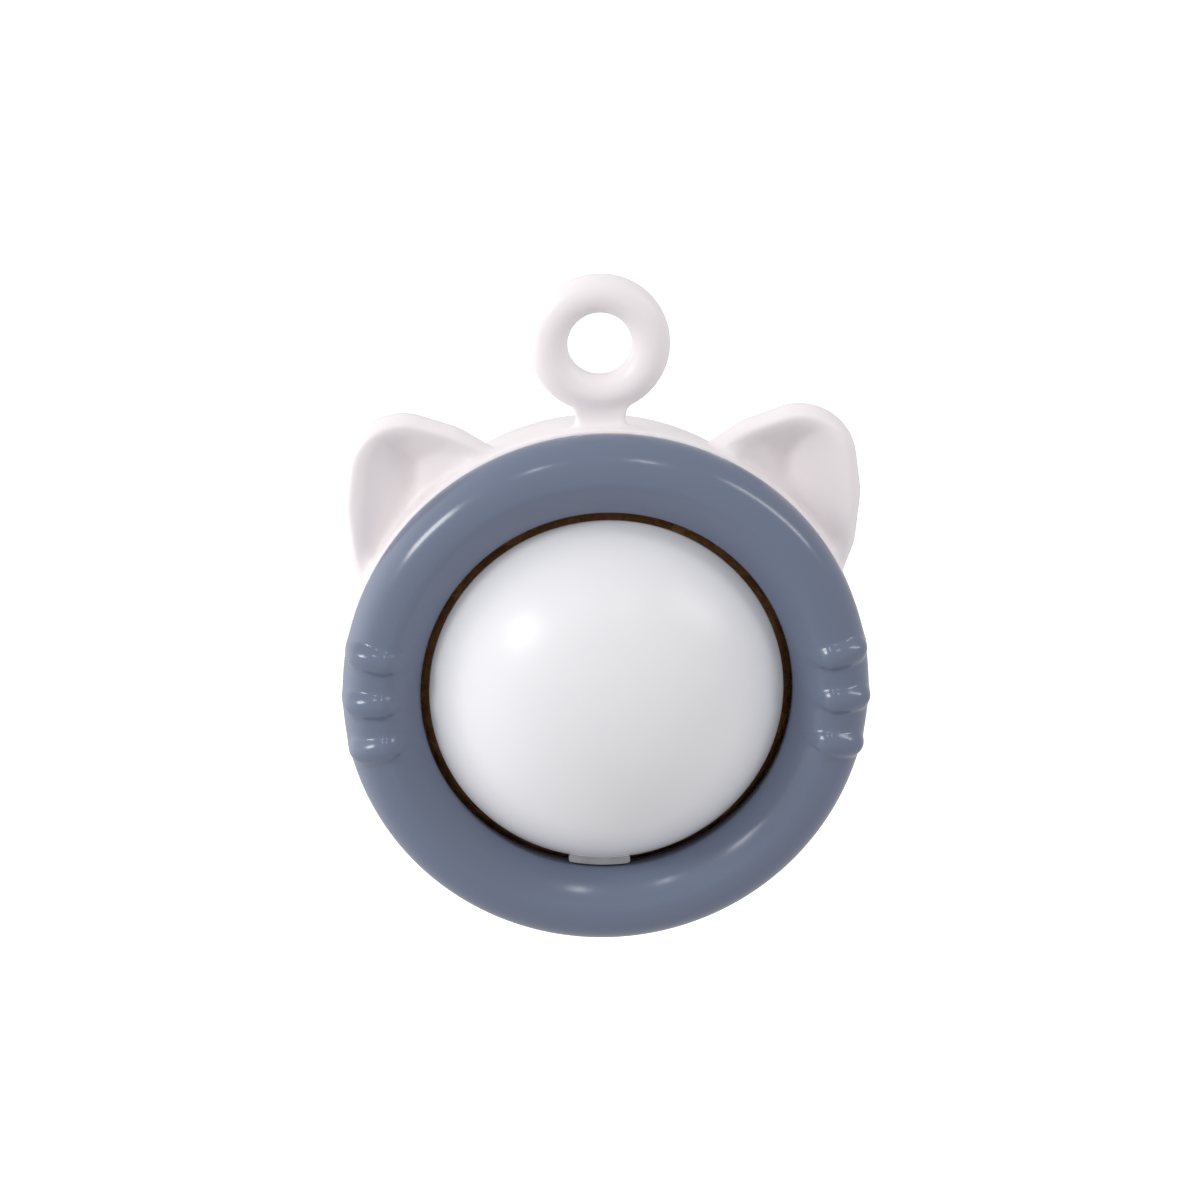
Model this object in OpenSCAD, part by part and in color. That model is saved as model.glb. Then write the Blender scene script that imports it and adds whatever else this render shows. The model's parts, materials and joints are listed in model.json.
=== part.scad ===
// Wall-mounted catnip ball: a ball of pressed catnip that turns between a bowl-shaped rear shell and a front
// ring that snaps onto it, under a pull-off dust cover. X is to the right, Z is up and the toy faces -Y. The
// origin is the middle of the glued face, on the wall.

/* [Catnip ball] */
// Diameter of the pressed ball
ball_d = 40; // [34:0.5:48]
// Running clearance between the ball and what holds it
ball_clear = 0.4; // [0.3:0.05:0.8]
// Gap between the ball and the narrowest part of the ring's opening
throat_gap = 1.1; // [0.8:0.05:1.5]
// Angle from the ball's axis to the ring's opening, seen from the ball's centre
throat_a = 53.4; // [51:0.1:58]

/* [Front ring] */
// How far the ring and the shell's edge stand out over the bowl
edge_out = 2; // [1.6:0.1:2.6]
// Wall thickness of the ring
ring_wall = 1.5; // [1.1:0.05:1.8]
// How far behind the ring's mid-plane the ring meets the shell
seam_back = 1.5; // [1:0.1:2]
// How far behind the mid-plane the lip that keeps the ball in starts
lip_back = 2; // [1.6:0.1:2.5]
// Length of that lip along the ball's axis
lip_length = 1; // [0.6:0.1:1.2]

/* [Whiskers] */
// Whisker bars on each side
whisker_count = 3; // [1:1:4]
// Angle between two bars
whisker_pitch = 11.4; // [9:0.1:14]
// Width of a bar where it leaves the ring
whisker_w = 2.3; // [1.6:0.1:3]
// Height of a bar over the ring
whisker_h = 0.35; // [0.3:0.05:0.9]
// Angle round the ring's section from its outside to a bar's front end
whisker_in = 125; // [90:5:150]
// Angle round the ring's section from its outside to a bar's back end
whisker_out = 18; // [5:1:20]

/* [Rear shell] */
// Wall thickness of the shell
shell_wall = 1.6; // [1.2:0.1:2.4]
// Width of the straight band round the shell's edge
band_w = 2.1; // [1:0.1:4]
// Diameter of the round foot on the back
foot_d = 29; // [24:0.5:32]
// Stiffening ribs inside the foot
foot_ribs = 6; // [3:1:10]
// Thickness of a rib
rib_t = 1.2; // [0.8:0.1:2]
// Thickness of the tongue that plugs into the ring
tongue_t = 1.2; // [0.9:0.05:1.5]
// Clearance between the tongue and the ring
snap_clear = 0.15; // [0.1:0.05:0.25]
// Radius of the snap bead on the tongue
bead_r = 0.35; // [0.25:0.05:0.4]

/* [Ears] */
// Angle from the top of the ring to the middle of an ear's rounded tip
ear_at = 42; // [36:0.5:50]
// How far the middle of the rounded tip lies outside the ring
ear_out = 2.8; // [1:0.1:4]
// Angle that an ear leans away from upright
ear_lean = 32; // [24:1:40]
// Radius of the rounded tip
ear_tip_r = 5.4; // [4.5:0.1:6.5]
// Radius of the bowed sides
ear_side_r = 19.2; // [16:0.2:26]
// How far behind the ring's mid-plane an ear's edge starts
ear_front = 2.2; // [1.6:0.1:3]
// Thickness of an ear, which is round at its edge
ear_t = 4.4; // [4:0.1:6]
// Width of the edge left round the hollow at the tip
ear_lip = 1.5; // [1:0.1:2]
// Depth of the hollow at its foot
ear_hollow = 3; // [1.5:0.1:3.2]
// Depth of the hollow near the tip
ear_hollow_tip = 2; // [1:0.1:2.5]
// Radius of the hollow near the tip
scoop_tip_r = 3.2; // [2.5:0.1:4]
// Radius of the hollow at its foot
scoop_foot_r = 11; // [8:0.5:14]
// How far below the middle of the rounded tip the hollow is deepest
scoop_foot_drop = 7; // [5:0.1:9]

/* [Hanging eye] */
// Diameter of the hole
eye_hole_d = 5.8; // [4:0.1:8]
// Diameter of the eye's round section
eye_tube_d = 3.6; // [3:0.1:5]
// Flat land inside the hole, measured from the round section's inmost point
eye_land = 0.1; // [0.05:0.05:0.3]
// Free height between the shell's edge and the eye
eye_gap = 0.9; // [0.5:0.1:3]
// Width of the neck under the eye
neck_w = 4.4; // [3.6:0.1:6]
// Thickness of the neck from front to back
neck_t = 2.6; // [2:0.1:2.8]

/* [Dust cover] */
// Gap between the cover's rim and the ring's opening
rim_gap = 0.75; // [0.6:0.05:1.5]
// Wall thickness of the cover
cover_wall = 0.6; // [0.4:0.05:0.9]
// Gap between the ball and the dome's crown
crown_gap = 2.8; // [1:0.1:4]
// Clearance between the cover's rim and the ball
cover_clear = 0.25; // [0.2:0.05:0.4]
// Width of the pull tab at the bottom of the rim
tab_w = 5.6; // [4:0.1:8]
// Thickness of the pull tab
tab_t = 0.8; // [0.6:0.05:1]
// How far the pull tab stands behind the rim
tab_back = 0.4; // [0.2:0.05:0.5]
// Gap between the tab and the ring's opening
tab_clear = 0.12; // [0.1:0.01:0.3]

/* [Adhesive pad] */
// How far the foam pad stays inside the foot's edge
pad_inset = 1.5; // [0:0.1:3]
// Thickness of the foam pad
pad_t = 1; // [0.6:0.1:2]

/* [Hidden] */
$fn = 96;

// Overlap that makes touching solids one
eps = 0.01;
// Length that reaches past everything
far = 100;

ball_r = ball_d / 2;
bowl_r = ball_r + ball_clear;
bowl_out_r = bowl_r + shell_wall;
// The ring's round section fills the space between its opening and its outside
opening_r = (ball_r + throat_gap) * sin(throat_a);
ring_r = bowl_out_r + edge_out;
tube_r = (ring_r - opening_r) / 2;
// Radius of the circle on which the round section runs
ring_mid_r = opening_r + tube_r;
hollow_r = tube_r - ring_wall;

// Depths are measured backwards from the ring's mid-plane
ball_back = (ball_r + throat_gap) * cos(throat_a);
shell_back = ball_back + bowl_r + shell_wall;
// Place of the ring's mid-plane in front of the wall
ring_y = -(shell_back + pad_t);

tongue_r = ring_mid_r + hollow_r - snap_clear;
tongue_in_r = tongue_r - tongue_t;
bead_at = seam_back / 2;
// Middle of the wall where the ears and the neck stand on it
wall_mid_r = bowl_r + shell_wall / 2;

ear_r = ring_r + ear_out;
ear_edge_r = ear_t / 2;
// Half the angle that an ear's rounded tip turns through
ear_tip_a = 45;
// Direction in which an ear's side faces where it runs into the shell
ear_foot_a = 4;
// Steps along an ear's outline
ear_steps = 12;
// The hollow's round end leaves the edge at the tip
scoop_tip_z = ear_tip_r - ear_lip
    - sqrt(pow(scoop_tip_r, 2) - pow(scoop_tip_r - ear_hollow_tip, 2));

eye_tube_r = eye_tube_d / 2;
eye_mid_r = eye_hole_d / 2 + eye_tube_r - eye_land;
eye_z = ring_r + eye_gap + eye_mid_r + eye_tube_r;
// The eye and its neck stand on the middle of the shell's rounded edge
eye_back = seam_back + band_w + edge_out / 2;

cover_rim_r = opening_r - rim_gap;
// The rim's inner edge clears the ball
cover_back = ball_back
    - sqrt(pow(ball_r + cover_clear, 2) - pow(cover_rim_r - cover_wall, 2));
// The dome is a sphere through its rim and its crown
cover_h = cover_back - ball_back + ball_r + crown_gap + cover_wall;
dome_r = (pow(cover_rim_r, 2) + pow(cover_h, 2)) / (2 * cover_h);
dome_back = cover_back - cover_h + dome_r;
tab_front = cover_back + tab_back - tab_t;
// The tab starts inside the dome's wall, between its inside at the rim and its outside at the tab's front
tab_in_r = (cover_rim_r - cover_wall
    + sqrt(pow(dome_r, 2) - pow(dome_back - tab_front, 2))) / 2;

// Turns a profile drawn as radius and depth about the ball's axis
module about_axis() {
    translate([0, ring_y, 0])
        rotate([-90, 0, 0])
            rotate_extrude()
                children();
}

// Sphere about the ball's centre
module ball_sphere(r) {
    translate([0, ring_y + ball_back, 0])
        rotate([-90, 0, 0])
            sphere(r);
}

// Cylinder about the ball's axis between two depths
module axis_cylinder(r, from, to) {
    translate([0, ring_y + from, 0])
        rotate([-90, 0, 0])
            cylinder(r = r, h = to - from);
}

// Point on an ear's outline, moved inwards: a round tip between two bowed sides. The angle is the direction
// in which the outline faces, from one side's foot over the tip to the other's.
function ear_point(a, inset) =
    let (
        side = a < 90 - ear_tip_a ? 1 : a > 90 + ear_tip_a ? -1 : 0,
        shift = (ear_side_r - ear_tip_r) * [side * sin(ear_tip_a), cos(ear_tip_a)]
    )
    side == 0
        ? (ear_tip_r - inset) * [cos(a), sin(a)]
        : (ear_side_r - inset) * [cos(a), sin(a)] - shift;

// Ear with a full-round edge and a scooped front, lying flat about the middle of its rounded tip
module ear_form() {
    difference() {
        hull()
            for (i = [0 : ear_steps])
                let (p = ear_point(ear_foot_a + (180 - 2 * ear_foot_a) * i / ear_steps, ear_edge_r))
                    translate([p.x, ear_edge_r, p.y])
                        sphere(ear_edge_r, $fn = 24);
        hull() {
            translate([0, ear_hollow_tip - scoop_tip_r, scoop_tip_z])
                sphere(scoop_tip_r, $fn = 24);
            translate([0, ear_hollow - scoop_foot_r, -scoop_foot_drop])
                sphere(scoop_foot_r, $fn = 40);
        }
    }
}

// Ear in its place, ending inside the shell's wall
module ear() {
    difference() {
        translate([ear_r * sin(ear_at), ring_y + ear_front, ear_r * cos(ear_at)])
            rotate([0, ear_lean, 0])
                ear_form();
        axis_cylinder(wall_mid_r, 0, far);
    }
}

// Straight wall closed by a half ball, drawn from the shell's front edge
module bowl_profile(r) {
    translate([0, seam_back])
        square([r, ball_back - seam_back]);
    intersection() {
        translate([0, ball_back])
            circle(r);
        translate([0, ball_back])
            square([far, far]);
    }
}

// Bowl, rounded edge band and tongue, as one turned profile
module shell_profile() {
    difference() {
        union() {
            bowl_profile(bowl_out_r);
            translate([0, seam_back])
                square([ring_r, band_w]);
            intersection() {
                translate([bowl_out_r, seam_back + band_w])
                    circle(edge_out);
                translate([0, seam_back + band_w])
                    square([far, far]);
            }
        }
        bowl_profile(bowl_r);
    }
    // Tongue with its snap bead, ending where the ring's hollow starts to round
    translate([tongue_in_r, 0])
        square([tongue_t, seam_back + eps]);
    translate([tongue_r - bead_r / 2, bead_at])
        circle(bead_r, $fn = 32);
}

// Round foot behind the bowl, open at the back, with ribs for the pad
module foot() {
    foot_r = foot_d / 2;
    difference() {
        union() {
            difference() {
                axis_cylinder(foot_r, ball_back, shell_back);
                axis_cylinder(foot_r - shell_wall, ball_back - eps, shell_back + eps);
            }
            for (i = [0 : foot_ribs - 1])
                rotate([0, 360 * i / foot_ribs, 0])
                    translate([0, ring_y + ball_back, -rib_t / 2])
                        cube([foot_r - shell_wall / 2, shell_back - ball_back, rib_t]);
        }
        ball_sphere(bowl_out_r - shell_wall / 2);
    }
}

// Neck with hollowed sides between the shell's edge and the eye
module neck() {
    top_z = eye_z - eye_mid_r;
    waist_z = ring_r + eye_gap / 2;
    flare = top_z - waist_z;
    translate([0, ring_y + eye_back, 0])
        rotate([90, 0, 0])
            linear_extrude(neck_t, center = true)
                difference() {
                    translate([-(neck_w + flare) / 2, wall_mid_r])
                        square([neck_w + flare, top_z - wall_mid_r]);
                    for (side = [-1, 1])
                        translate([side * (neck_w / 2 + flare), waist_z])
                            circle(flare);
                }
}

module rear_shell() {
    color("whitesmoke")
    difference() {
        union() {
            about_axis() shell_profile();
            foot();
            ear();
            mirror([1, 0, 0]) ear();
            neck();
            translate([0, ring_y + eye_back, eye_z])
                rotate([90, 0, 0])
                    rotate_extrude()
                        translate([eye_mid_r, 0])
                            circle(eye_tube_r);
        }
        translate([0, ring_y + eye_back, eye_z])
            rotate([90, 0, 0])
                cylinder(d = eye_hole_d, h = 2 * eye_tube_d, center = true);
    }
}

// Ring section: a hollow round tube open at the back, with a lip that follows the ball
module ring_profile() {
    difference() {
        union() {
            intersection() {
                translate([ring_mid_r, 0])
                    circle(tube_r);
                translate([0, -far])
                    square([far, far + seam_back]);
            }
            intersection() {
                translate([ring_mid_r, 0])
                    circle(tube_r);
                square([ring_mid_r - hollow_r, lip_back + lip_length]);
            }
            translate([0, lip_back])
                square([ring_mid_r - hollow_r, lip_length]);
        }
        translate([ring_mid_r, 0])
            circle(hollow_r);
        translate([ring_mid_r - hollow_r, 0])
            square([2 * hollow_r, far]);
        translate([tongue_r - bead_r / 2, bead_at])
            circle(bead_r + snap_clear, $fn = 32);
        translate([0, ball_back])
            circle(bowl_r);
    }
}

// Raised whisker bar that wraps over the ring's section
module whisker(angle) {
    // Radius that gives the bar its width and its height
    bar_r = (pow(whisker_w / 2, 2) + pow(whisker_h, 2)) / (2 * whisker_h);
    translate([ring_mid_r * cos(angle), ring_y, ring_mid_r * sin(angle)])
        rotate([0, -angle, 0])
            rotate([0, 0, -whisker_in])
                rotate_extrude(angle = whisker_in + whisker_out)
                    intersection() {
                        translate([tube_r + whisker_h - bar_r, 0])
                            circle(bar_r);
                        translate([tube_r - ring_wall / 2, -bar_r])
                            square([far, 2 * bar_r]);
                    }
}

module front_ring() {
    color("slategray") {
        about_axis() ring_profile();
        for (side = [0, 180], i = [0 : whisker_count - 1])
            whisker(side + whisker_pitch * (i - (whisker_count - 1) / 2));
    }
}

module catnip_ball() {
    color("saddlebrown")
        ball_sphere(ball_r);
}

// Tab at the bottom of the cover's rim, reaching out to the ring's opening
module pull_tab() {
    intersection() {
        difference() {
            axis_cylinder(opening_r - tab_clear, tab_front, tab_front + tab_t);
            axis_cylinder(tab_in_r, tab_front - eps, tab_front + tab_t + eps);
        }
        translate([-tab_w / 2, ring_y - far / 2, -far])
            cube([tab_w, far, far]);
    }
}

module dust_cover() {
    color("white")
    difference() {
        union() {
            about_axis()
                intersection() {
                    difference() {
                        translate([0, dome_back])
                            circle(dome_r);
                        translate([0, dome_back])
                            circle(dome_r - cover_wall);
                    }
                    translate([0, cover_back - far])
                        square([far, far]);
                }
            pull_tab();
        }
        ball_sphere(ball_r + cover_clear);
    }
}

module adhesive_pad() {
    color("lightgray")
        axis_cylinder(foot_d / 2 - pad_inset, shell_back, shell_back + pad_t);
}

rear_shell();
front_ring();
catnip_ball();
dust_cover();
adhesive_pad();
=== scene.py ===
# %% [markdown]
# # A wall-mounted catnip ball
# The toy is a white bowl-shaped shell with two cat's ears and a hanging eye, a glossy blue-grey ring with
# whisker bars, a ball of pressed catnip between the two, and a white domed cover over the ball. The packed
# CAD model is the frame of this lesson: it says where everything is, in metres, and it is never moved.
# Blender adds what CAD leaves out, which is soft moulded edges, rough pressed leaf, finishes and light.

# %% Load the frame
import json
import math

import bmesh
import bpy
import numpy as np
from mathutils import Matrix, Quaternion, Vector, noise


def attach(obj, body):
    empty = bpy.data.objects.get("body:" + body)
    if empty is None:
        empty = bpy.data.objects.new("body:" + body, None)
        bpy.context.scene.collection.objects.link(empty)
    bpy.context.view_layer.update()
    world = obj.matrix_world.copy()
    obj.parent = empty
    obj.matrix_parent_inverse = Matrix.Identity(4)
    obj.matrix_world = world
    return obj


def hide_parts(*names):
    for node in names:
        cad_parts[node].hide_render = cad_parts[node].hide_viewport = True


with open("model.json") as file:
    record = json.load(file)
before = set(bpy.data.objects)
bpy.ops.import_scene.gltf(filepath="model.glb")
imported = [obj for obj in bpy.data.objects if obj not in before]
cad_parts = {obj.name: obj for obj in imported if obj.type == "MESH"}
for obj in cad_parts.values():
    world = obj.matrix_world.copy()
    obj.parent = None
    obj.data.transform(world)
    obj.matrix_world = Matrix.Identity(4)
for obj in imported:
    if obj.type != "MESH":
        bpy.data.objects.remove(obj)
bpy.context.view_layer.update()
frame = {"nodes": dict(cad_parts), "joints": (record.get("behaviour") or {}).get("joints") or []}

# %% [markdown]
# ## Sizes
# A few sizes of the part are needed again here, in millimetres. The turned pieces share one axis, so it is
# easiest to think in two numbers: the radius from that axis, and the depth behind the middle plane of the
# ring. The place of the ball comes from its own joint, so that the pieces made here sit where the frame has
# them.

# %% Sizes in millimetres
MM = 0.001
BALL_R = 20.0
THROAT_GAP, THROAT_A = 1.1, math.radians(53.4)
BALL_CLEAR = 0.4
SHELL_WALL, EDGE_OUT = 1.6, 2.0
THROAT_R = BALL_R + THROAT_GAP
BOWL_R = BALL_R + BALL_CLEAR
BALL_BACK = THROAT_R * math.cos(THROAT_A)
OPENING_R = THROAT_R * math.sin(THROAT_A)
RING_R = BOWL_R + SHELL_WALL + EDGE_OUT
TUBE_R = (RING_R - OPENING_R) / 2
RING_MID_R = OPENING_R + TUBE_R

spin = next(j for j in frame["joints"] if j["name"] == "ball_spin")
BALL_Y = spin["pos_m"][1] / MM
RING_Y = BALL_Y - BALL_BACK


def place(radius, depth, angle):
    """Point in metres at a radius, a depth behind the ring's middle plane and an angle about the axis."""
    return Vector((radius * math.cos(angle), RING_Y + depth, radius * math.sin(angle))) * MM


print(f"ring: middle plane y {RING_Y:.2f} mm, opening {2 * OPENING_R:.1f}, outside {2 * RING_R:.1f}")

# %% [markdown]
# ## Camera
# The picture was taken from a little above and a touch to the left, through a long lens. Matching the
# ring's two ellipses, the eye and the ears gave the distance, the angle and the lens. The camera first
# looks at the middle of the ring, and is then turned a little so that the ring lands below the middle of
# the square picture. Turning the camera keeps the lens unshifted, so other views stay centred.

# %% Camera
IMAGE = 1200
FOCAL_PX = 4101
RING_PX_X, RING_PX_Y = 606.4, 689.3
AZIMUTH, ELEVATION, ROLL = math.radians(-3.0), math.radians(18.28), math.radians(0.7)
DISTANCE = 374 * MM
ring_centre = Vector((0, RING_Y * MM, 0))
back = Vector((
    math.sin(AZIMUTH) * math.cos(ELEVATION),
    -math.cos(AZIMUTH) * math.cos(ELEVATION),
    math.sin(ELEVATION),
))

camera = bpy.data.objects.new("camera", bpy.data.cameras.new("camera"))
bpy.context.scene.collection.objects.link(camera)
bpy.context.scene.camera = camera
camera.data.sensor_width = 36
camera.data.lens = FOCAL_PX / IMAGE * camera.data.sensor_width
camera.data.clip_start, camera.data.clip_end = 0.01, 50

aim = (-back).to_track_quat("-Z", "Y").to_matrix()
turn = Matrix.Rotation(-ROLL, 3, "Z")
turn = turn @ Matrix.Rotation(math.atan((RING_PX_Y - IMAGE / 2) / FOCAL_PX), 3, "X")
turn = turn @ Matrix.Rotation(math.atan((RING_PX_X - IMAGE / 2) / FOCAL_PX), 3, "Y")
camera.rotation_mode = "QUATERNION"
camera.rotation_quaternion = (aim @ turn).to_quaternion()
camera.location = ring_centre + back * DISTANCE
print(f"camera: lens {camera.data.lens:.0f} mm at {1000 * DISTANCE:.0f} mm")

# %% [markdown]
# ## Shader maths as Python
# A finish is a small calculation: a noise makes a number, and that number changes the colour or the
# roughness. A class that wraps one socket and overloads the operators lets the calculation be written as an
# expression, with the reflected forms so that `1 - mask` works too. All other nodes come from one method,
# which sets a node's own settings first and then fills its sockets with values or links.

# %% Finish and signal
class Signal:
    """One output socket that can be used in a Python expression."""

    def __init__(self, finish, socket):
        self.finish = finish
        self.socket = socket

    def math(self, operation, first, second):
        """Adds a Math node and returns its result."""
        return self.finish.node("ShaderNodeMath", {"operation": operation}, {0: first, 1: second})

    def __add__(self, other):
        return self.math("ADD", self, other)

    def __mul__(self, other):
        return self.math("MULTIPLY", self, other)

    def __sub__(self, other):
        return self.math("SUBTRACT", self, other)

    def __rsub__(self, other):
        return self.math("SUBTRACT", other, self)

    __radd__ = __add__
    __rmul__ = __mul__


class Finish:
    """A material whose nodes are added by node(), ending in one Principled shader."""

    def __init__(self, name, **constants):
        self.material = bpy.data.materials.new(name)
        self.material.use_nodes = True
        self.tree = self.material.node_tree
        self.shader = self.tree.nodes["Principled BSDF"]
        for socket, value in constants.items():
            self.shader.inputs[socket.replace("_", " ")].default_value = value
        self.where = self.node("ShaderNodeTexCoord", {}, {}, output="Object")

    def node(self, kind, settings, sockets, output=0):
        """Adds a node, sets its settings, fills its sockets and returns one of its outputs."""
        made = self.tree.nodes.new(kind)
        for key, value in settings.items():
            if key == "stops":
                while len(made.color_ramp.elements) < len(value):
                    made.color_ramp.elements.new(0.5)
                for element, (position, colour) in zip(made.color_ramp.elements, value):
                    element.position, element.color = position, (*colour, 1)
            else:
                setattr(made, key, value)
        for key, value in sockets.items():
            self.fill(made.inputs[key], value)
        return Signal(self, made.outputs[output])

    def fill(self, socket, value):
        """Links a signal to a socket, or sets a plain value on it."""
        if isinstance(value, Signal):
            self.tree.links.new(value.socket, socket)
        else:
            socket.default_value = value

    def set(self, socket, value):
        """Fills one of the shader's own sockets."""
        self.fill(self.shader.inputs[socket], value)

    def noise(self, size_mm, detail=2.0, roughness=0.5):
        """Noise whose grains are about that many millimetres across, as a number from 0 to 1."""
        scale = 1 / (size_mm * MM)
        sockets = {"Vector": self.where, "Scale": scale, "Detail": detail, "Roughness": roughness}
        return self.node("ShaderNodeTexNoise", {}, sockets)

    def blend(self, factor, first, second):
        """Colour between two colours."""
        first, second = [(*c, 1) if isinstance(c, tuple) else c for c in (first, second)]
        return self.node("ShaderNodeMix", {"data_type": "RGBA"}, {0: factor, 6: first, 7: second}, output=2)

    def bump(self, height, depth_mm, strength):
        """Lets a height tilt the surface, where a height of 1 stands for that many millimetres."""
        sockets = {"Height": height, "Distance": depth_mm * MM, "Strength": strength}
        self.set("Normal", self.node("ShaderNodeBump", {}, sockets))


print("shader helpers ready")

# %% [markdown]
# ## White moulded plastic
# The shell is a satin white plastic with a warm, faintly pink cast. Light goes a little way into it, which
# softens the shade in the ears, so some subsurface scattering is set as a constant. Two noises keep it from
# being one flat colour: a broad one for the slow mottling of moulded plastic, and a fine one for the grain
# of the mould.

# %% White shell finish
def shell_white():
    finish = Finish("shell_white", Subsurface_Weight=0.2, Subsurface_Scale=1.0 * MM, IOR=1.48)
    finish.shader.inputs["Subsurface Radius"].default_value = (1.0, 0.85, 0.8)
    broad, grain = finish.noise(14, 3), finish.noise(0.25, 2)
    finish.set("Base Color", finish.blend(broad, (0.865, 0.813, 0.816), (0.90, 0.853, 0.856)))
    finish.set("Roughness", 0.3 + 0.1 * broad + 0.06 * grain)
    finish.bump(grain + 3 * broad, 0.012, 0.35)
    return finish.material


white = shell_white()
print("made", white.name)

# %% [markdown]
# ## Glossy blue-grey plastic
# The ring is the glossiest piece, so its roughness is low and its surface needs a very faint waviness, the
# kind that makes a moulded part's reflections swim a little. Tiny roughness changes stand for handling
# marks.

# %% Ring finish
def ring_blue_grey():
    finish = Finish("ring_blue_grey", IOR=1.5)
    broad, wave, smear = finish.noise(18, 2), finish.noise(5, 1), finish.noise(2.2, 4, 0.6)
    finish.set("Base Color", finish.blend(broad, (0.133, 0.160, 0.231), (0.147, 0.177, 0.254)))
    finish.set("Roughness", 0.15 + 0.03 * broad + 0.03 * smear)
    finish.bump(wave, 0.02, 0.3)
    return finish.material


blue_grey = ring_blue_grey()
print("made", blue_grey.name)

# %% [markdown]
# ## Cover plastic
# The dome is a cooler white than the shell and a little smoother, so that a lamp shows on it as a soft
# bright patch. A fine grain, as of an etched mould, changes the roughness and the bump. The pull tab is the
# same white plastic, but it lies in the shade of the gap, so its grey is painted shade: a finish of its own
# with a dark base colour that changes slowly between darker and lighter grey. Painting it with a mask on the
# dome's material would do the same, but two plain finishes are easier to read.

# %% Cover finish and the tab's painted shade
def cover_white():
    finish = Finish("cover_white", Subsurface_Weight=0.15, Subsurface_Scale=1.0 * MM, IOR=1.48)
    finish.shader.inputs["Subsurface Radius"].default_value = (1.0, 0.95, 0.95)
    broad, grain = finish.noise(11, 2), finish.noise(0.16, 3)
    finish.set("Base Color", finish.blend(broad, (0.80, 0.80, 0.82), (0.84, 0.84, 0.855)))
    finish.set("Roughness", 0.27 + 0.04 * broad + 0.06 * grain)
    finish.bump(grain, 0.01, 0.3)
    return finish.material


# Painted shade for the pull tab: white plastic in the gap's shade, drawn as a dark grey base colour that
# changes slowly in tone.
def painted_shade_tab():
    finish = Finish("painted_shade_tab", IOR=1.48)
    broad, grain = finish.noise(2.5, 2), finish.noise(0.16, 3)
    finish.set("Base Color", finish.blend(broad, (0.22, 0.22, 0.23), (0.46, 0.46, 0.47)))
    finish.set("Roughness", 0.4 + 0.1 * grain)
    finish.bump(grain, 0.01, 0.3)
    return finish.material


cover_plastic, tab_painted_shade = cover_white(), painted_shade_tab()
print("made", cover_plastic.name, tab_painted_shade.name)

# %% [markdown]
# ## Pressed catnip
# Dried leaf pressed into a ball is a crowd of brown and tan flakes with pale bits of stem. A Voronoi
# texture gives each flake a colour of its own through a ramp, a stretched noise adds the stems, and fine
# noise adds crumbs.

# %% Catnip finish
def pressed_leaf():
    finish = Finish("pressed_leaf", IOR=1.4)
    drifting = {"Vector": finish.where, "Scale": 700.0, "Detail": 2.0}
    drift = finish.node("ShaderNodeTexNoise", {}, drifting, "Color")
    warped = finish.node("ShaderNodeVectorMath", {"operation": "MULTIPLY_ADD"},
                         {0: drift, 1: (0.0012, 0.0012, 0.0012), 2: finish.where})
    cells = {"Vector": warped, "Scale": 640.0}
    flakes = finish.node("ShaderNodeTexVoronoi", {}, cells, "Color")
    tone = finish.node("ShaderNodeSeparateColor", {}, {"Color": flakes}, "Red")
    edge = finish.node("ShaderNodeTexVoronoi", {"feature": "DISTANCE_TO_EDGE"}, cells)
    crumbs = finish.noise(0.35, 4, 0.65)
    stretched = finish.node("ShaderNodeMapping", {}, {"Vector": warped, "Scale": (0.25, 1.6, 1.0)})
    fibre = finish.node("ShaderNodeTexNoise", {}, {"Vector": stretched, "Scale": 1500.0, "Detail": 3.0})
    stems = finish.node("ShaderNodeMapRange", {}, {"Value": fibre, "From Min": 0.62, "From Max": 0.7})
    leaf = finish.node("ShaderNodeValToRGB", {"stops": [
        (0.0, (0.21, 0.088, 0.033)), (0.35, (0.36, 0.155, 0.056)), (0.6, (0.32, 0.16, 0.06)),
        (0.8, (0.44, 0.21, 0.08)), (1.0, (0.52, 0.28, 0.12)),
    ]}, {"Fac": 0.75 * tone + 0.35 * crumbs - 0.05})
    finish.set("Base Color", finish.blend(stems * 0.6, leaf, (0.45, 0.29, 0.15)))
    finish.set("Roughness", 0.95 - 0.2 * stems)
    finish.bump(crumbs + 1.5 * edge + 0.6 * tone + stems, 0.14, 0.8)
    return finish.material


leaf = pressed_leaf()
print("made", leaf.name)

# %% [markdown]
# ## Foam and adhesive
# The pad is a disc of grey foam with a thin film of adhesive on each face. Foam is a field of small open
# cells, so a Voronoi distance makes the pits; the films are smoother and a little yellow.

# %% Pad finishes
def pad_foam():
    finish = Finish("pad_foam", IOR=1.45)
    cells = finish.node("ShaderNodeTexVoronoi", {}, {"Vector": finish.where, "Scale": 3200.0})
    cloud = finish.noise(4, 3)
    finish.set("Base Color", finish.blend(cells * 0.6 + 0.4 * cloud, (0.62, 0.62, 0.62), (0.36, 0.36, 0.37)))
    finish.set("Roughness", 0.8 + 0.15 * cells)
    finish.bump(1 - cells, 0.08, 0.7)
    return finish.material


def pad_film():
    finish = Finish("pad_film", IOR=1.46)
    cloud, grain = finish.noise(3, 4), finish.noise(0.5, 2)
    finish.set("Base Color", finish.blend(cloud, (0.62, 0.6, 0.53), (0.72, 0.71, 0.66)))
    finish.set("Roughness", 0.25 + 0.2 * cloud)
    finish.bump(grain + cloud, 0.02, 0.5)
    return finish.material


foam, film = pad_foam(), pad_film()
print("made", foam.name, film.name)

# %% [markdown]
# ## Turned pieces
# Most of the toy is turned about one axis. A profile drawn as radius and depth, swept through a list of
# angles, gives a clean grid of quads, which a glossy finish needs: triangles cut by booleans would show in
# the reflections.

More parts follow.
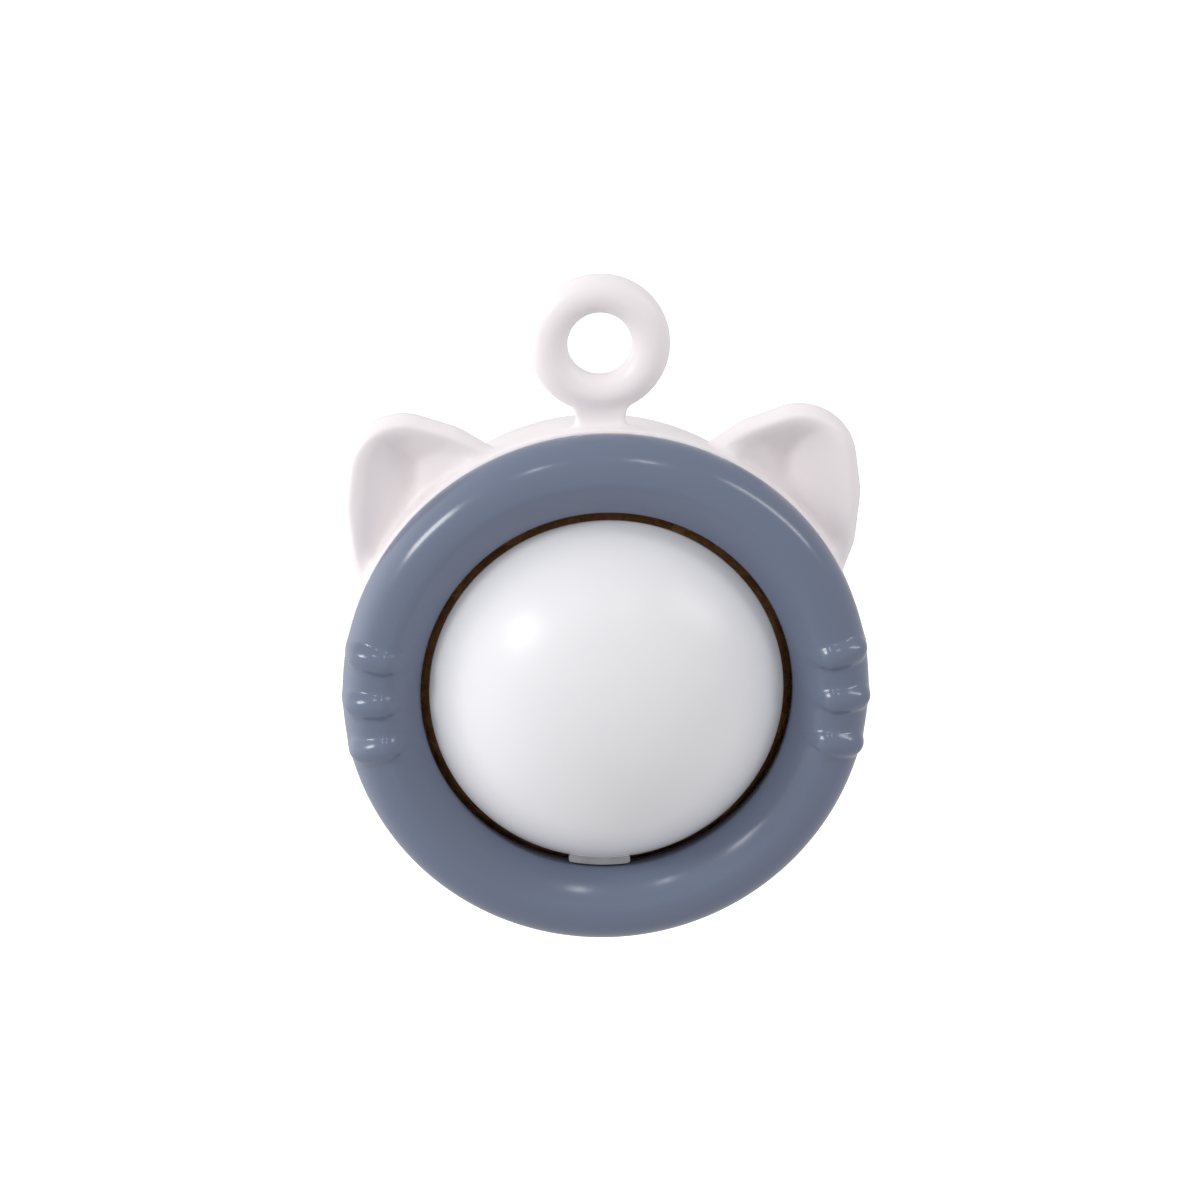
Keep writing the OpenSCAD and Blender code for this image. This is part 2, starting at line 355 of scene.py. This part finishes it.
# %% Turning a profile
def turned(profile, angles, lift=None):
    """Closed mesh from a closed profile of (radius, depth) points, which lift(i, angle) may move."""
    mesh = bmesh.new()
    rows = []
    for angle in angles:
        row = []
        for i, (radius, depth) in enumerate(profile):
            r, d = (radius, depth) if lift is None else lift(i, angle)
            row.append(mesh.verts.new(place(r, d, angle)))
        rows.append(row)
    for a, row in enumerate(rows):
        following = rows[(a + 1) % len(rows)]
        for i in range(len(profile)):
            j = (i + 1) % len(profile)
            mesh.faces.new((row[i], row[j], following[j], following[i]))
    bmesh.ops.remove_doubles(mesh, verts=mesh.verts, dist=1e-7)
    bmesh.ops.recalc_face_normals(mesh, faces=mesh.faces)
    return mesh


def piece(name, mesh, body, replaced, slot, *materials):
    """Object from a bmesh that rides on a body and stands for a CAD node."""
    data = bpy.data.meshes.new(name)
    mesh.to_mesh(data)
    mesh.free()
    return dressed(name, data, body, replaced, slot, *materials)


def dressed(name, data, body, replaced, slot, *materials):
    """Object with smooth faces and its materials that rides on a body and stands for a CAD node."""
    data.polygons.foreach_set("use_smooth", [True] * len(data.polygons))
    obj = bpy.data.objects.new(name, data)
    bpy.context.scene.collection.objects.link(obj)
    for material in materials:
        data.materials.append(material)
    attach(obj, body)
    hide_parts(replaced)
    print(f"{name}: {len(data.vertices)} points, {len(data.polygons)} faces")
    return obj


def arc(middle, radius, start, end, count):
    """Points on a circle in the profile plane. Angle 0 points outwards and 90 degrees to the front."""
    return [
        (middle[0] + radius * math.cos(a), middle[1] - radius * math.sin(a))
        for a in np.linspace(start, end, count)
    ]


def full_circle(step):
    """Angles of one turn, that many degrees apart."""
    return np.radians(np.arange(0, 360, step))


print("turning helpers ready")

# %% [markdown]
# ## Front ring
# The ring is a hollow round section, open at the back. On the inside it leans to the front and its shoulder
# is flattened, which follows the inner edge in the photograph. A torus with its back cut away would be
# quicker to make, but its section is a plain circle. So the section is drawn as arcs and moved point by
# point, and is turned later.

# %% Ring profile
SEAM, SEAM_EASE = 1.5, 0.25
SEAM_FLAT, CORNER_IN, CORNER_AHEAD = 0.4, 0.14, 0.07
LIP_FRONT, LIP_END = 2.0, 3.0
RING_WALL = 1.5
LEAN, FLATTEN = 0.75, 2.0
HOLLOW_R = TUBE_R - RING_WALL
seam_a = -math.asin((SEAM - SEAM_EASE) / TUBE_R)
lip_a = math.pi + math.asin(LIP_FRONT / TUBE_R)
round_section = arc((RING_MID_R, 0), TUBE_R, seam_a, lip_a, 150)


def leaned(radius, depth):
    """Moves the inside of the section to the front, flattens its shoulder and leaves the rest."""
    inside = min(1.0, max(0.0, (RING_MID_R - radius) / TUBE_R))
    ahead = min(1.0, max(0.0, (LIP_FRONT - depth) / LIP_FRONT))
    shoulder = max(0.0, -depth / TUBE_R) * inside**1.6
    return radius, depth - LEAN * inside**2 * ahead + FLATTEN * shoulder


outside = [leaned(*point) for point in round_section]
lip_depths = np.linspace(LIP_FRONT, LIP_END, 8)
lip = [(math.sqrt(BOWL_R**2 - (BALL_BACK - d) ** 2), d) for d in lip_depths]
inner_wall = RING_MID_R - HOLLOW_R
hollow = [(inner_wall, LIP_END)] + arc((RING_MID_R, 0), HOLLOW_R, math.pi, 0, 24)
seam_edge_r = RING_MID_R + TUBE_R * math.cos(seam_a)
seam_face = [
    (RING_MID_R + HOLLOW_R, SEAM),
    (seam_edge_r - SEAM_FLAT, SEAM),
    (seam_edge_r - CORNER_IN, SEAM - CORNER_AHEAD),
]
ring_profile = outside + lip + hollow + seam_face
print("ring profile:", len(ring_profile), "points")

# %% [markdown]
# ## Whisker bars
# The whiskers are raised bars that begin softly near the outside, wrap over the crest and run out inside.
# They could be separate solids joined by a boolean, but then each would meet the ring in a hard line. Here
# the grid itself is lifted into a round crest with a soft foot. In the photograph each bar shows two dashes
# of light, one on the crest and one in the foot, and their places gave the bar's height, the radius of its
# crest and the softness of its foot. The bars on the right lie a little lower. The columns of the grid are
# close together only where the bars are.

# %% Whisker bars
BAR_STEP, BAR_MIDDLES = 11.4, (-1.6, 179.8)
BAR_ANGLES = [math.radians(m + k * BAR_STEP) for m in BAR_MIDDLES for k in (-1, 0, 1)]
BAR_H, BAR_CREST, BAR_FOOT = 0.75, 1.05, 0.23
BAR_OUT, BAR_IN = math.radians(6), math.radians(118)
BAR_BEGINS, BAR_ENDS = (BAR_OUT, BAR_OUT + 0.7), (BAR_IN + 0.2, BAR_IN - 0.6)
BAR_REACH = 0.2
outside_angles = np.linspace(seam_a, lip_a, len(outside))


def off_bar(angle, bar):
    """Angle between a direction and a bar's middle line, from minus to plus half a turn."""
    return (angle - bar + math.pi) % (2 * math.pi) - math.pi


def eased(value, start, end):
    """0 before the start, 1 after the end, and a smooth change between."""
    share = min(1.0, max(0.0, (value - start) / (end - start)))
    return share * share * (3 - 2 * share)


def bar_height(section_angle, radius, angle):
    """How far the ring's surface is raised there, in mm."""
    level = BAR_H * eased(section_angle, *BAR_BEGINS) * eased(section_angle, *BAR_ENDS)
    beyond = TUBE_R * max(0.0, section_angle - BAR_IN, BAR_OUT - section_angle)
    height = 0.0
    for off in [off_bar(angle, bar) for bar in BAR_ANGLES]:
        if abs(off) < BAR_REACH:
            across = radius * math.sin(off)
            rise = level - (across**2 + beyond**2) / (2 * BAR_CREST)
            height += (rise + math.hypot(rise, BAR_FOOT)) / 2
    return height


def whiskered(i, angle):
    """Point i of the ring's profile at an angle, raised where a bar crosses it."""
    radius, depth = ring_profile[i]
    if i >= len(outside):
        return radius, depth
    a = outside_angles[i]
    h = bar_height(a, radius, angle)
    return radius + h * math.cos(a), depth - h * math.sin(a)


FINE_SPAN, FINE_STEP, COARSE_STEP = 4.6, 0.2, 1.5
fine_steps = np.radians(np.arange(-FINE_SPAN, FINE_SPAN + FINE_STEP / 2, FINE_STEP))
fine = [bar + step for bar in BAR_ANGLES for step in fine_steps]
beside_fine = math.radians(FINE_SPAN + FINE_STEP)
far_from_bars = [
    a for a in full_circle(COARSE_STEP) if all(abs(off_bar(a, bar)) > beside_fine for bar in BAR_ANGLES)
]
ring_angles = sorted(a % (2 * math.pi) for a in fine + far_from_bars)
piece(
    "front_ring_moulded", turned(ring_profile, ring_angles, whiskered),
    "housing", "front_ring", "blue_grey_plastic", blue_grey,
)

# %% [markdown]
# ## Rear shell
# The shell is one moulding: bowl, edge, ears, neck and eye. CAD has them with hard joins, but a mould is
# cut with round tools, so every join on the real one is a small fillet. A bevel on such a mixed mesh would
# be hard to control. A voxel remesh turns a copy of the CAD node into an even skin instead, and a smoothing
# that shrinks and swells in turn rounds the edges without making the piece thinner.

# %% Even skin with soft edges
def even_skin(node, voxel_mm):
    """Mesh of a CAD node, remeshed into even quads of that size."""
    copy = bpy.data.objects.new("skin", frame["nodes"][node].data.copy())
    bpy.context.scene.collection.objects.link(copy)
    remesh = copy.modifiers.new("skin", "REMESH")
    remesh.mode = "VOXEL"
    remesh.voxel_size = voxel_mm * MM
    graph = bpy.context.evaluated_depsgraph_get()
    data = bpy.data.meshes.new_from_object(copy.evaluated_get(graph))
    bpy.data.objects.remove(copy)
    return data


def points_of(data):
    """Places of a mesh's points in metres, one row each."""
    points = np.zeros(len(data.vertices) * 3)
    data.vertices.foreach_get("co", points)
    return points.reshape(-1, 3)


def move_points(data, points):
    """Puts a mesh's points in new places."""
    data.vertices.foreach_set("co", points.ravel())
    data.update()


def soften(data, rounds, where=None, shrink=0.55, swell=-0.57):
    """Smooths a mesh, or part of it, in pairs of steps, one that shrinks it and one that swells it back."""
    points = points_of(data)
    edges = np.zeros(len(data.edges) * 2, int)
    data.edges.foreach_get("vertices", edges)
    a, b = edges.reshape(-1, 2).T
    count = np.bincount(np.concatenate([a, b]), minlength=len(points))[:, None]
    share = 1.0 if where is None else where(points)[:, None]
    for _ in range(rounds):
        for step in (shrink, swell):
            total = np.stack([
                np.bincount(a, points[b, k], len(points)) + np.bincount(b, points[a, k], len(points))
                for k in range(3)
            ], axis=1)
            points += step * share * (total / count - points)
    move_points(data, points)


def ramp(values, start, end):
    """0 up to the start, 1 from the end on, and a straight change between."""
    return np.clip((values - start) / (end - start), 0, 1)


EAR_ROOT_R, EAR_ROOT_X, EAR_ROOT_Z = (22.4, 23.6), (6, 8), (2, 5)


def on_ears(points):
    """1 on the ears, 0 on the rest of the shell, with a short change between."""
    x, _, z = points.T / MM
    return ramp(np.hypot(x, z), *EAR_ROOT_R) * ramp(np.abs(x), *EAR_ROOT_X) * ramp(z, *EAR_ROOT_Z)


print("smoothing helpers ready")

# %% [markdown]
# ## Creased ears
# The hollow of each ear is not a round scoop: the photograph shows two slopes that meet in a soft upright
# crease, the one that faces the lamp bright and the other in shade. The skin's front is pressed into that
# shape. How far inside the ear's outline a point lies gives the rounded edge, and its distance from the
# crease gives the slope.

# %% Crease
EAR_AT, EAR_LEAN = math.radians(42), math.radians(32)
EAR_OUT, EAR_FRONT, EAR_EDGE = 2.8, 2.2, 2.2
EAR_R = RING_R + EAR_OUT
TIP_R, SIDE_R, CREASE_X = 5.4, 19.2, 16.95
PRESS_INSIDE, PRESS_R, PRESS_Z = (0.3, 0.8), (24.3, 25.1), 2
FRONT_INSIDE, FRONT_DEPTH = (1.2, 2.2), (EAR_EDGE, 3.6)


def inside_ear(x, z):
    """How far inside an ear's outline points lie, in mm: a round tip between two bowed sides."""
    across, up = np.abs(x) - EAR_R * math.sin(EAR_AT), z - EAR_R * math.cos(EAR_AT)
    u = np.abs(across * math.cos(EAR_LEAN) - up * math.sin(EAR_LEAN))
    w = across * math.sin(EAR_LEAN) + up * math.cos(EAR_LEAN)
    shift = (SIDE_R - TIP_R) * math.sqrt(0.5)
    return np.where(w >= u, TIP_R - np.hypot(u, w), SIDE_R - np.hypot(u + shift, w + shift))


def crease(data, lip=0.7, deepest=3.0, steepest=0.75):
    """Presses the front of both ears into two slopes that meet in an upright crease."""
    points = points_of(data)
    x, y, z = points.T / MM
    behind = y - RING_Y - EAR_FRONT
    inside = inside_ear(x, z)
    rounded = EAR_EDGE - np.sqrt(EAR_EDGE**2 - np.clip(EAR_EDGE - inside, 0, EAR_EDGE) ** 2)
    slope_run = np.maximum(inside - lip, 0)
    slope = np.minimum(steepest, deepest / (slope_run + np.abs(np.abs(x) - CREASE_X) + 1e-6))
    front = rounded + slope * slope_run
    on_front = (behind < np.interp(inside, FRONT_INSIDE, FRONT_DEPTH)) & (z > PRESS_Z)
    share = on_front * ramp(inside, *PRESS_INSIDE) * ramp(np.hypot(x, z), *PRESS_R)
    points[:, 1] += share * (front - behind) * MM
    move_points(data, points)
    print("creased", int((share > 0).sum()), "points, deepest", round(float((share * front).max()), 2), "mm")


SKIN_VOXEL, SKIN_ROUNDS, EAR_ROUNDS = 0.28, 12, 40
skin = even_skin("rear_shell", SKIN_VOXEL)
skin.materials.clear()
soften(skin, SKIN_ROUNDS)
crease(skin)
soften(skin, EAR_ROUNDS, on_ears)
dressed("rear_shell_moulded", skin, "housing", "rear_shell", "white_plastic", white)

# %% [markdown]
# ## Catnip ball
# The ball is pressed from dried leaf, so its surface is made of small flakes lying at slightly different
# heights and tilts, with open cracks between them. A bump alone would leave the ball's outline smooth, so a
# fine sphere is pushed inwards flake by flake: the nearest cell of a fixed noise decides how deep a flake
# lies and which way it tips. The ball is loose, so it lies 0.3 mm low in its running clearance.

# %% Flaked ball
DROP = 0.3
FLAKE, FLAKE_DEPTH = 1.9, 0.16
FLAKE_TILT, FLAKE_LIE = 0.35, 0.35
TILT_PICK, LIE_PICK = 7.3, 3.1
CRACK, CRACK_DEPTH = 0.12, 0.6


def flaked_ball(subdivisions):
    """Sphere at the ball's place whose points are sunk flake by flake."""
    mesh = bmesh.new()
    bmesh.ops.create_icosphere(mesh, subdivisions=subdivisions, radius=BALL_R)
    for v in mesh.verts:
        spot = v.co / FLAKE
        distances, cells = noise.voronoi(spot)
        tip = noise.cell_vector(cells[0] * TILT_PICK) - Vector((0.5, 0.5, 0.5))
        lie = 0.5 + FLAKE_TILT * tip.dot(spot - cells[0]) - FLAKE_LIE * noise.cell(cells[0] * LIE_PICK)
        crack = max(0.0, 1 - (distances[1] - distances[0]) / CRACK)
        sink = FLAKE_DEPTH * (min(1.0, max(0.0, lie)) + CRACK_DEPTH * crack)
        v.co *= 1 - sink / BALL_R
        v.co += Vector((0, BALL_Y, -DROP))
        v.co *= MM
    return mesh


piece("catnip_ball_pressed", flaked_ball(7), "ball", "catnip_ball", "pressed_catnip", leaf)

# %% [markdown]
# ## Dust cover
# The cover is a thin dome with a rolled rim. Its outside is part of a sphere through the rim and the crown,
# so one arc outside, one arc inside and a few points for the roll make the profile. Half a sphere with a
# solidify modifier would also have a wall, but its rim would stay sharp.

# %% Dome
COVER_WALL, COVER_CLEAR, CROWN_CLEAR = 0.6, 0.25, 2.8
RIM_GAP = 0.75
ROLL_OUT, ROLL_IN = 0.012, 0.02
RIM_R = OPENING_R - RIM_GAP
RIM_D = BALL_BACK - math.sqrt((BALL_R + COVER_CLEAR) ** 2 - (RIM_R - COVER_WALL) ** 2)
DOME_H = RIM_D - BALL_BACK + BALL_R + CROWN_CLEAR + COVER_WALL
DOME_R = (RIM_R**2 + DOME_H**2) / (2 * DOME_H)
DOME_D = RIM_D - DOME_H + DOME_R
rim_a = math.acos(RIM_R / DOME_R)
outer = arc((0, DOME_D), DOME_R, math.pi / 2, rim_a + ROLL_OUT, 60)
inner_rim_a = math.asin((DOME_D - RIM_D) / (DOME_R - COVER_WALL))
inner = arc((0, DOME_D), DOME_R - COVER_WALL, inner_rim_a + ROLL_IN, math.pi / 2, 60)
roll_steps = [(0.03, 0.1), (0.12, 0.02), (0.3, 0), (0.48, 0.05)]
roll = [(RIM_R - inwards, RIM_D - ahead) for inwards, ahead in roll_steps]
dome_profile = outer + roll + inner
dome = turned(dome_profile, full_circle(COARSE_STEP))
print(f"dome: radius {DOME_R:.2f} mm, height {DOME_H:.2f} mm")

# %% [markdown]
# ## Pull tab
# At the bottom of the rim a small tab helps to pull the cover off. A scaled cube would not follow the rim,
# so the tab is raised from a rounded outline that is bent along it, and its edges get a small bevel. The
# cover can be put on at any angle, and in the photograph its tab sits 3 degrees to the left of the bottom.
# The faces outside the rim take the tab's finish, whose grey is painted shade: the tab is white plastic
# lying in the shade of the gap.

# %% Pull tab
TAB_WIDTH, TAB_T, TAB_ANGLE = 5.6, 0.8, math.radians(267)
TAB_BACK = RIM_D + 0.4
TAB_LOW, TAB_HIGH = RIM_R - 0.25, OPENING_R - 0.12
TAB_CORNER, TAB_BEVEL = 0.3, 0.1
TAB_PAINTED_SHADE_R = RIM_R + 0.02


def tab_outline():
    """Outline of the tab as the way along the rim and the radius, with two round corners outside."""
    half = TAB_WIDTH / 2
    middle_x, middle_r = half - TAB_CORNER, TAB_HIGH - TAB_CORNER
    corner = [
        (middle_x + TAB_CORNER * math.sin(t), middle_r + TAB_CORNER * math.cos(t))
        for t in np.linspace(0, math.pi / 2, 7)
    ]
    high = [(x, TAB_HIGH) for x in np.linspace(-middle_x, middle_x, 9)][1:-1]
    low = [(x, TAB_LOW) for x in np.linspace(half, -half, 9)]
    return [(-x, r) for x, r in reversed(corner)] + high + corner + low


def pull_tab(mesh):
    """Adds a rounded tongue that reaches from the rim towards the ring's opening."""
    outline = tab_outline()
    layers = [
        [mesh.verts.new(place(r, depth, TAB_ANGLE + x / RIM_R)) for x, r in outline]
        for depth in (TAB_BACK - TAB_T, TAB_BACK)
    ]
    faces = [mesh.faces.new(layers[0]), mesh.faces.new(list(reversed(layers[1])))]
    for i in range(len(outline)):
        j = (i + 1) % len(outline)
        faces.append(mesh.faces.new((layers[0][j], layers[0][i], layers[1][i], layers[1][j])))
    bmesh.ops.recalc_face_normals(mesh, faces=faces)
    rims = list(faces[0].edges) + list(faces[1].edges)
    bmesh.ops.bevel(mesh, geom=rims, offset=TAB_BEVEL * MM, segments=2, affect="EDGES", profile=0.5)


pull_tab(dome)
dust_cover = piece(
    "dust_cover_moulded", dome, "cover", "dust_cover", "cover_plastic", cover_plastic, tab_painted_shade,
)
# The tab's faces outside the rim get the painted shade.
for face in dust_cover.data.polygons:
    x, _, z = face.center / MM
    if math.hypot(x, z) > TAB_PAINTED_SHADE_R and z < 0:
        face.material_index = 1

# %% [markdown]
# ## Adhesive pad
# The pad is die-cut from foam with adhesive film on both faces, so its edge shows three layers: film, a
# slightly sunken core, and film again. The core's edge wavers a little, because soft foam springs back
# after the cut.

# %% Pad
PAD_R, PAD_T, PAD_STEP = 13.0, 1.0, 2
PAD_FRONT = BALL_BACK + BOWL_R + SHELL_WALL
CORE_R, FILM_R = PAD_R - 0.1, PAD_R - 0.02
FILM_T, FILM_ROUND = 0.1, 0.03
CORE_FRONT, CORE_SINK = 0.14, 0.12
CORE_T = PAD_T - 2 * CORE_FRONT
WAVER, WAVES, WAVER_STEP = 0.06, 6, 0.3
FOAM_FROM = 0.13
film_edge = [(0, 0), (CORE_R, 0), (FILM_R, FILM_ROUND), (FILM_R, FILM_T)]
core_edge = [
    (CORE_R - CORE_SINK * math.sin(t), CORE_FRONT + CORE_T * t / math.pi)
    for t in np.linspace(0, math.pi, 9)
]
pad_profile = film_edge + core_edge + [(radius, PAD_T - depth) for radius, depth in reversed(film_edge)]


def wavered(i, angle):
    """Point i of the pad's profile at an angle, with the foam core's edge a little uneven."""
    radius, depth = pad_profile[i]
    if len(film_edge) <= i < len(film_edge) + len(core_edge):
        spot = Vector((WAVES * math.cos(angle), WAVES * math.sin(angle), WAVER_STEP * i))
        radius += WAVER * noise.noise(spot)
    return min(PAD_R, radius), PAD_FRONT + depth


pad = piece(
    "adhesive_pad_layers", turned(pad_profile, full_circle(PAD_STEP), wavered),
    "housing", "adhesive_pad", "foam", foam, film,
)
for face in pad.data.polygons:
    depth = face.center.y / MM - RING_Y - PAD_FRONT
    face.material_index = 0 if FOAM_FROM < depth < PAD_T - FOAM_FROM else 1

# %% [markdown]
# ## Floor
# The photograph is a bright product shot on white. A wide pale floor well below the toy fills the picture,
# and no contact shadow falls in view. A real sheet of paper would also throw light back up, but that would
# brighten the dome's underside, which is the shaded side in the photograph. So this floor is hidden from
# bounced light and from reflections, and it glows a little to stay white.

# %% Floor
FLOOR_HALF, FLOOR_Z = 25000 * MM, -160 * MM


def pale_floor():
    finish = Finish("pale_floor", Roughness=0.9, Emission_Color=(1, 1, 1, 1), Emission_Strength=0.6)
    cloud = finish.noise(60, 2)
    finish.set("Base Color", finish.blend(cloud, (0.93, 0.93, 0.93), (0.95, 0.95, 0.95)))
    return finish.material


floor_mesh = bmesh.new()
bmesh.ops.create_grid(floor_mesh, x_segments=8, y_segments=8, size=FLOOR_HALF)
floor_data = bpy.data.meshes.new("floor")
floor_mesh.to_mesh(floor_data)
floor_mesh.free()
floor_data.materials.append(pale_floor())
floor = bpy.data.objects.new("floor", floor_data)
floor.location = (0, 0, FLOOR_Z)
bpy.context.scene.collection.objects.link(floor)
floor.visible_diffuse = False
floor.visible_glossy = False
print(f"floor {-1000 * FLOOR_Z:.0f} mm below the toy's axis")

# %% [markdown]
# ## Surround
# Shade in the photograph is never dark, as in a pale room. A world of one even colour would do that. This
# one is also brighter beside the toy on the left, which lifts the ring's left edge. Its directions are
# given as seen from the photograph's camera, but they are fixed in the world, so nothing slides when the
# toy is seen from elsewhere. The plain view transform shows the pale colours as they are set.

# %% Surround
class Surround(Finish):
    """The world's light, built with the same helpers as a finish."""

    def __init__(self, name):
        world = bpy.data.worlds.new(name)
        bpy.context.scene.world = world
        world.use_nodes = True
        self.tree = world.node_tree
        self.shader = self.tree.nodes["Background"]
        self.where = self.node("ShaderNodeTexCoord", {}, {}, output="Generated")

    def glow(self, direction):
        """1 in a direction given as right, up and towards the camera, falling to 0 at right angles to it."""
        towards = seen @ Vector(direction).normalized()
        sockets = {0: self.where, 1: towards}
        facing = self.node("ShaderNodeVectorMath", {"operation": "DOT_PRODUCT"}, sockets, "Value")
        level = self.node("ShaderNodeMath", {"operation": "MAXIMUM"}, {0: facing, 1: 0.0})
        return level * level


bpy.context.scene.view_settings.view_transform = "Standard"
seen = aim @ Matrix.Rotation(-ROLL, 3, "Z")
EVEN_LIGHT, SIDE_LIGHT = 0.7, 1.5
surround = Surround("surround")
beside = surround.glow((-1, 0.1, -0.15))
surround.set("Color", (0.985, 0.98, 1.0, 1.0))
surround.set("Strength", EVEN_LIGHT + SIDE_LIGHT * beside * beside)
print("surround: even light, brighter beside the toy on the left")

# %% [markdown]
# ## Lamps
# Reflections tell where the lamps stood: the streaks on the ring, the bright patch on the dome and the
# dashes on the whiskers point to a soft box on the left, a weaker strip up to the right, and two small
# lamps above the camera. Each lamp is placed along a direction seen from the camera, because that is how it
# was read from the picture. Area lamps suit this, because their size sets how large their reflections are.

# %% Lamps
LAMP_DISTANCE = 800 * MM


def lamp(name, direction, size, watts, turn_degrees=0):
    """Rectangular lamp in a direction given as right, up and towards the camera, turned about that line."""
    light = bpy.data.lights.new(name, "AREA")
    light.shape = "RECTANGLE"
    light.size, light.size_y = size
    light.energy = watts
    obj = bpy.data.objects.new(name, light)
    bpy.context.scene.collection.objects.link(obj)
    towards = seen @ Vector(direction).normalized()
    obj.location = ring_centre + towards * LAMP_DISTANCE
    obj.rotation_mode = "QUATERNION"
    own_turn = Quaternion((0, 0, 1), math.radians(turn_degrees))
    obj.rotation_quaternion = towards.to_track_quat("Z", "Y") @ own_turn
    print(f"{name}: {watts} W at {LAMP_DISTANCE} m")


lamp("soft_box_left", (-0.72, 0.31, 0.62), (0.15, 0.24), 1.7, -35)
lamp("strip_right", (0.80, 0.48, 0.36), (0.085, 0.42), 0.85, 30)
lamp("small_lamp_left", (-0.245, 0.58, 0.78), (0.035, 0.055), 0.165)
lamp("small_lamp_right", (0.25, 0.58, 0.78), (0.035, 0.055), 0.165)
